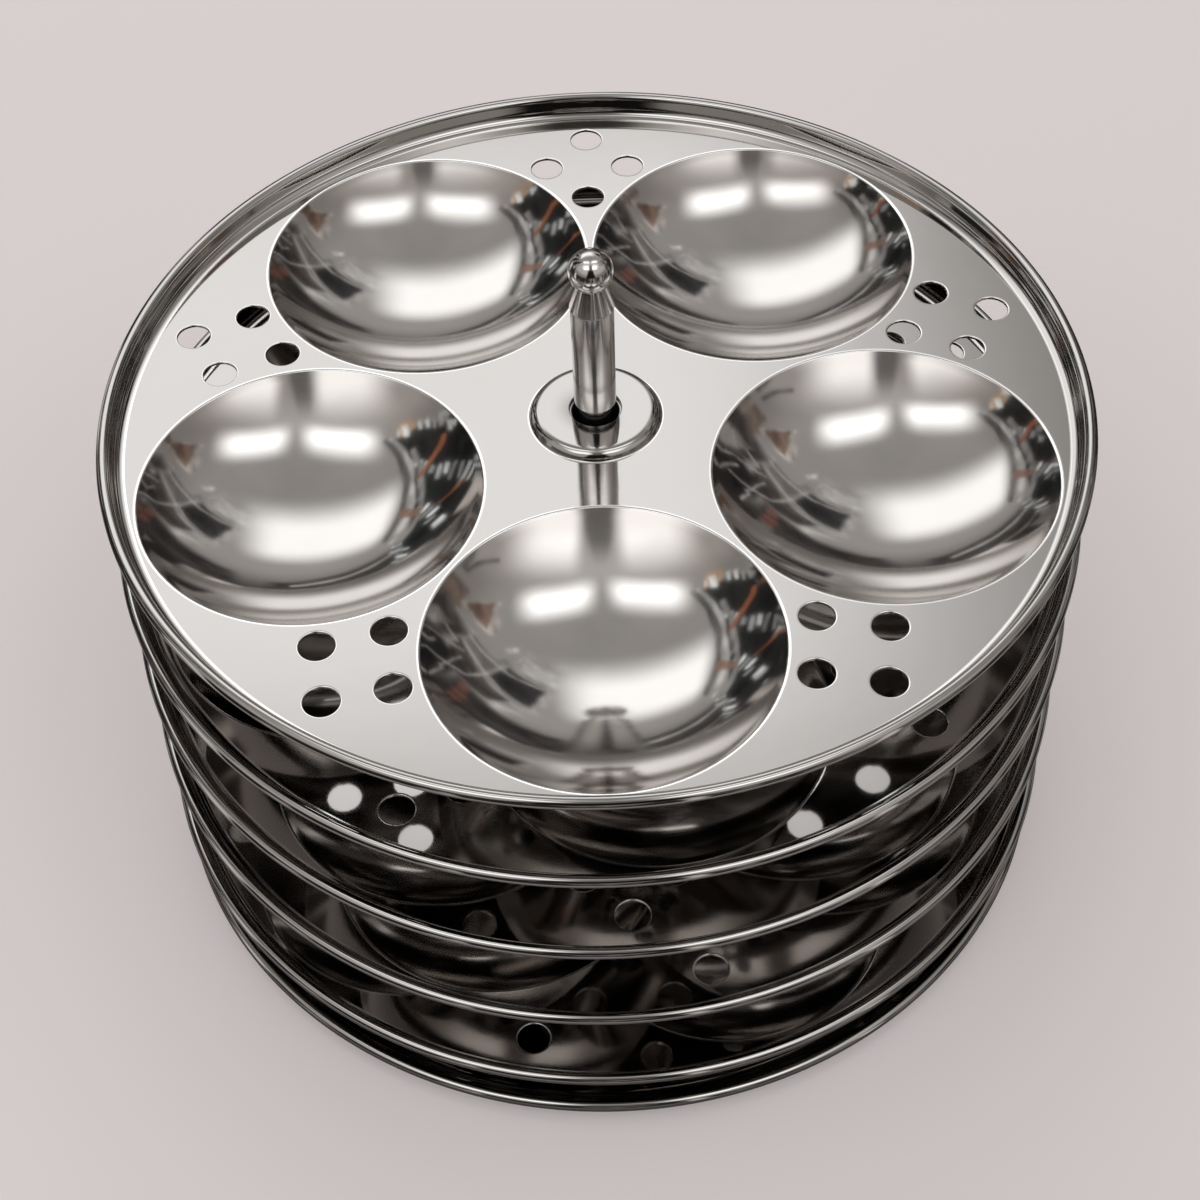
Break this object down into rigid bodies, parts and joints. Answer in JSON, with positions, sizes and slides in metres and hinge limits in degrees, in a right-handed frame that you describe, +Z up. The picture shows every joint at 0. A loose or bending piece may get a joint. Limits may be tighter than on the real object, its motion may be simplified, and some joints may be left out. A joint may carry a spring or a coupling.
{
  "type": "idli steamer",
  "caption": "Stacking idli steamer stand: round plates with shallow cups and steam vents on a central rod, over a plain tray, with a ball-topped handle.",
  "frame": {"origin": "centre of the tray's underside, on the table", "axes": "+Z up along the rod; -Y towards the side seen in front in the picture, where a cup of the top plate lies"},
  "size_m": [0.23, 0.23, 0.1798],
  "materials": {
    "satin_steel": "pressed stainless sheet, satin flats and polished cups",
    "polished_steel": "turned and polished stainless",
    "plain_steel": "drawn stainless, dull"
  },
  "bodies": {
    "stand": {"base_plate": "satin_steel", "foot_washer": "plain_steel", "foot_nut": "plain_steel", "centre_rod": "polished_steel", "handle_sleeve": "polished_steel", "handle_knob": "polished_steel"},
    "tube_5": {"spacer_tube_5": "plain_steel"},
    "plate_5": {"idli_plate_5": "satin_steel"},
    "tube_4": {"spacer_tube_4": "plain_steel"},
    "plate_4": {"idli_plate_4": "satin_steel"},
    "tube_3": {"spacer_tube_3": "plain_steel"},
    "plate_3": {"idli_plate_3": "satin_steel"},
    "tube_2": {"spacer_tube_2": "plain_steel"},
    "plate_2": {"idli_plate_2": "satin_steel"},
    "tube_1": {"spacer_tube_1": "plain_steel"},
    "plate_1": {"idli_plate_1": "satin_steel"}
  },
  "joints": [
    {"name": "tier_5_lift", "type": "slide", "parent": "stand", "child": "tube_5", "axis": [0, 0, 1], "range_m": [0, 0.177]},
    {"name": "plate_5_spin", "type": "hinge", "parent": "tube_5", "child": "plate_5", "pos_m": [0, 0, 0.018], "axis": [0, 0, 1], "continuous": true},
    {"name": "tier_4_lift", "type": "slide", "parent": "plate_5", "child": "tube_4", "axis": [0, 0, 1], "range_m": [0, 0.162]},
    {"name": "plate_4_spin", "type": "hinge", "parent": "tube_4", "child": "plate_4", "pos_m": [0, 0, 0.0462], "axis": [0, 0, 1], "continuous": true},
    {"name": "tier_3_lift", "type": "slide", "parent": "plate_4", "child": "tube_3", "axis": [0, 0, 1], "range_m": [0, 0.134]},
    {"name": "plate_3_spin", "type": "hinge", "parent": "tube_3", "child": "plate_3", "pos_m": [0, 0, 0.0744], "axis": [0, 0, 1], "continuous": true},
    {"name": "tier_2_lift", "type": "slide", "parent": "plate_3", "child": "tube_2", "axis": [0, 0, 1], "range_m": [0, 0.106]},
    {"name": "plate_2_spin", "type": "hinge", "parent": "tube_2", "child": "plate_2", "pos_m": [0, 0, 0.1026], "axis": [0, 0, 1], "continuous": true},
    {"name": "tier_1_lift", "type": "slide", "parent": "plate_2", "child": "tube_1", "axis": [0, 0, 1], "range_m": [0, 0.078]},
    {"name": "plate_1_spin", "type": "hinge", "parent": "tube_1", "child": "plate_1", "pos_m": [0, 0, 0.1308], "axis": [0, 0, 1], "continuous": true}
  ]
}
